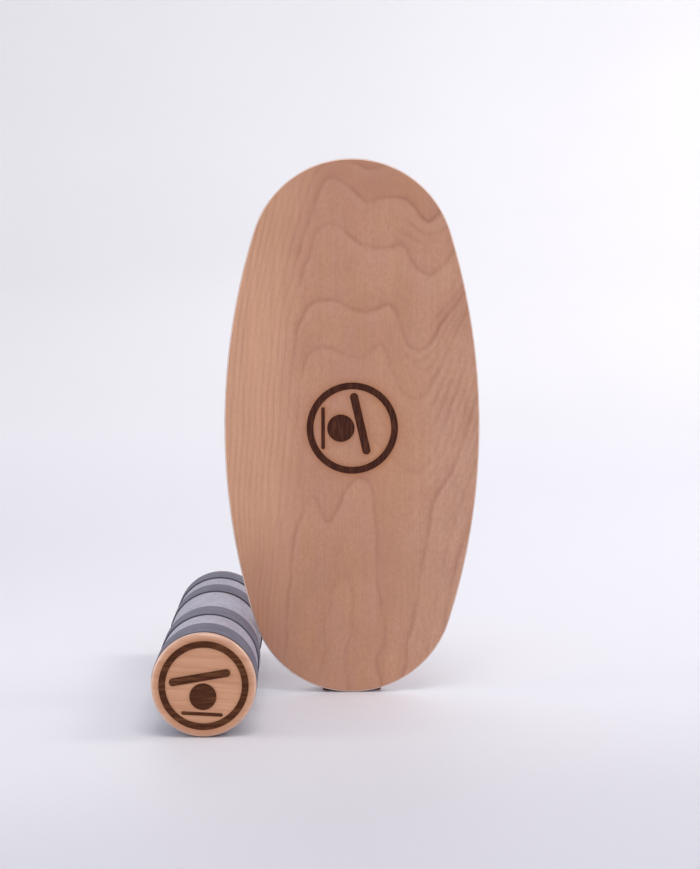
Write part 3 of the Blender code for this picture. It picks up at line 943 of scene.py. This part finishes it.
def cap_points(face, shoulder, spigot_end):
    """Profile of a cap from the middle of its face to the middle of its spigot."""
    inward = 1.0 if shoulder > face else -1.0
    flat = CAP_RADIUS - CAP_EDGE_RADIUS
    points = [(flat * step / CAP_FACE_STEPS, face) for step in range(1, CAP_FACE_STEPS + 1)]
    points += [(flat + CAP_EDGE_RADIUS * sine, face + inward * CAP_RIM_DEPTH * (1 - cosine))
               for sine, cosine in quarter_turn(CAP_EDGE_STEPS, 1)]
    points += [(CAP_RADIUS - CAP_BACK_RADIUS * (1 - cosine),
                face + inward * (CAP_RIM_DEPTH + CAP_BACK_RADIUS * sine))
               for sine, cosine in quarter_turn(CAP_BACK_STEPS, 1)]
    rim_end = CAP_RIM_DEPTH + CAP_BACK_RADIUS + GROOVE_STEP
    groove, spigot = CAP_RADIUS - CAP_GROOVE_DEPTH, TUBE_RADIUS - TUBE_WALL - CAP_GAP
    return points + [(groove, face + inward * rim_end), (groove, shoulder), (spigot, shoulder),
                     (spigot, spigot_end)]


def make_cap(end, outward):
    low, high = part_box(f"end_cap_{end}")
    tube_end = TUBE_LOW.y if outward < 0 else TUBE_HIGH.y
    face, spigot_end = (low.y, high.y) if outward < 0 else (high.y, low.y)
    centre = (AXIS_X, face, AXIS_Z)
    profile = cap_points(face, tube_end + outward * CAP_GAP, spigot_end)
    solid = turned(f"cap_{end}_solid", profile, pointed=True)
    place = emblem_place(centre, CAP_EMBLEM_RADIUS, CAP_GRAIN_TURN * -outward, outward)
    mesh = applied(solid, emblem_cutter(f"cap_{end}_emblem", place), f"cap_{end}")
    wood = cap_wood(f"cap_{end}_wood", centre, outward, CAP_GRAIN_TURN)
    burnt = burnt_wood(f"cap_{end}_burnt", srgb(78, 43, 27), srgb(122, 78, 50), (30, 420, 420))
    add_piece(f"cap_{end}", mesh, "roller", "cap_wood", [f"end_cap_{end}"], wood, burnt)
    mark_engraving(mesh, face, outward, centre, CAP_EMBLEM_RADIUS, 1)


# ------ floor, lights, camera
COVE_FLOOR_RADIUS, COVE_SWEEP_RADIUS, COVE_TOP = 2.2, 3.6, 5.2
COVE_FLOOR_STEPS, COVE_SWEEP_STEPS, COVE_STEPS = 10, 32, 96
WALL_COLOURS = (0.805, 0.796, 0.822), (0.820, 0.811, 0.837)
# The ground's colours carry painted shade: bluer than the wall, and darker near the front.
GROUND_FAR, GROUND_PAINTED_SHADE = (0.826, 0.820, 0.865), (0.742, 0.735, 0.788)


def cove_paper():
    """Pale paper. On the ground it carries painted shade: it is bluer than the wall, and darker towards the
    front, less so on the left.
    """
    tree = Tree("cove_paper")
    x, y, z = tree.separate(tree.coords)
    wall = tree.mix(tree.spread(tree.noise((1.2, 1.2, 1.2)), 0.3, 0.7), *WALL_COLOURS)
    to_left = tree.mul(tree.math("MINIMUM", x, 0.0), 0.5)
    # Painted shade, darker towards the front and less so on the left.
    painted_shade_toward_front = tree.sub(tree.add(tree.mul(x, 0.15), to_left), y)
    ground = tree.mix(tree.spread(painted_shade_toward_front, 0.04, 0.60), GROUND_FAR, GROUND_PAINTED_SHADE)
    tree.colour = tree.mix(tree.spread(z, 0.0, 0.25), ground, wall)
    return tree.finish(0.55, specular=0.25)


def make_cove():
    """A pale round cove: a flat floor that sweeps up into a wall on every side."""
    profile = [(COVE_FLOOR_RADIUS * (step / COVE_FLOOR_STEPS), 0.0)
               for step in range(1, COVE_FLOOR_STEPS + 1)]
    profile += [(COVE_FLOOR_RADIUS + COVE_SWEEP_RADIUS * sine, COVE_SWEEP_RADIUS * (1 - cosine))
                for sine, cosine in quarter_turn(COVE_SWEEP_STEPS, 1)]
    profile.append((COVE_FLOOR_RADIUS + COVE_SWEEP_RADIUS, COVE_TOP))
    verts = [(0.0, 0.0, 0.0)]
    for radius, z in profile:
        verts += [(x, y, z) for x, y in circle_points((0, 0), radius, COVE_STEPS)]
    faces = [(0, 1 + step, 1 + (step + 1) % COVE_STEPS) for step in range(COVE_STEPS)]
    for loop in range(len(profile) - 1):
        first, second = 1 + loop * COVE_STEPS, 1 + (loop + 1) * COVE_STEPS
        for step in range(COVE_STEPS):
            after = (step + 1) % COVE_STEPS
            faces.append((first + step, second + step, second + after, first + after))
    mesh = bpy.data.meshes.new("cove")
    mesh.from_pydata(verts, [], faces)
    mesh.materials.append(cove_paper())
    cove = linked("cove", shaded(mesh, COVE_SMOOTH))


LAMP_COLOUR = (1.0, 0.985, 0.965)
SKY_COLOUR, SKY_STRENGTH = (0.90, 0.92, 1.0, 1.0), 0.48
LAMPS = (  # name, place, what it points at, size, watts, and the width of its beam in degrees
    ("front_soft", (0.6, -3.0, 1.2), (0, 0, 0.3), (1.8, 1.2), 4, 180),
    ("high_front", (0.6, -1.6, 4.6), (1.0, 4.0, 0.6), (2.5, 2.5), 81, 180),
    ("high_right", (3.6, 0.2, 3.6), (2.6, 4.2, 1.6), (2.0, 2.0), 105, 180),
    ("low_back", (0.9, 3.2, 2.2), (0.1, 0, 0.1), (2.0, 1.2), 4.8, 180),
    ("low_back_left", (-0.9, 3.2, 2.2), (0, 0, 0.1), (1.6, 1.2), 8.3, 180),
    ("rim_left", (-2.4, -0.3, 1.0), (0, 0, 0.35), (0.8, 1.6), 2.7, 70),
    ("wall_front", (0.0, -2.4, 3.0), (0.0, -5.6, 2.6), (3.0, 1.6), 32, 120),
    ("wall_left", (-1.2, 2.4, 2.6), (-1.6, 5.4, 1.4), (2.4, 1.6), 3.1, 120),
    ("wall_middle", (0.4, 2.8, 2.2), (0.5, 5.4, 0.5), (2.6, 2.0), 2.3, 110),
    ("wall_right", (1.8, 2.4, 2.6), (2.2, 5.4, 1.4), (2.4, 1.6), 8.3, 120),
)


def area_light(name, location, target, size, watts, spread):
    data = bpy.data.lights.new(name, "AREA")
    data.shape = "RECTANGLE"
    data.size, data.size_y = size
    data.energy = watts
    data.color = LAMP_COLOUR
    data.spread = math.radians(spread)
    lamp = linked(name, data)
    lamp.location = location
    direction = Vector(target) - Vector(location)
    lamp.rotation_euler = direction.to_track_quat("-Z", "Y").to_euler()
    lamp.visible_camera = False


def make_lights():
    """Soft light on the object, and a lamp for each part of the cove that the camera sees."""
    world = bpy.data.worlds.new("studio")
    world.use_nodes = True
    background = world.node_tree.nodes["Background"]
    background.inputs["Color"].default_value = SKY_COLOUR
    background.inputs["Strength"].default_value = SKY_STRENGTH
    bpy.context.scene.world = world
    for lamp in LAMPS:
        area_light(*lamp)


CAMERA_PLACE = (-0.0333, -2.2078, 0.508)
CAMERA_YAW, CAMERA_PITCH = math.radians(-1.833), math.radians(4.068)
CAMERA_LENS, CAMERA_SENSOR = 67.94, 36.0  # millimetres


def make_camera():
    data = bpy.data.cameras.new("camera")
    data.lens = CAMERA_LENS
    data.sensor_width = CAMERA_SENSOR
    camera = linked("camera", data)
    camera.location = CAMERA_PLACE
    camera.rotation_euler = (math.radians(90) - CAMERA_PITCH, 0.0, CAMERA_YAW)
    bpy.context.scene.camera = camera


# ------ build
def finish_cad_nodes(steel):
    """The cap screws stay CAD solids; they sit under the outer rings."""
    for end in ("front", "rear"):
        for number in range(1, 4):
            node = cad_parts[f"cap_screw_{end}_{number}"]
            node.data.materials.clear()
            node.data.materials.append(steel)


def main():
    steel = screw_steel()
    make_camera()
    make_deck()
    wood = stopper_wood()
    for end in ("lower", "upper"):
        make_stopper(end, wood)
        make_stopper_screws(end, steel)
    make_tube(tube_plastic())
    make_rings(ring_rubber(), ring_cut_side())
    make_cap("front", -1)
    make_cap("rear", 1)
    finish_cad_nodes(steel)
    make_cove()
    make_lights()
    bpy.context.scene.view_settings.view_transform = "Standard"


main()
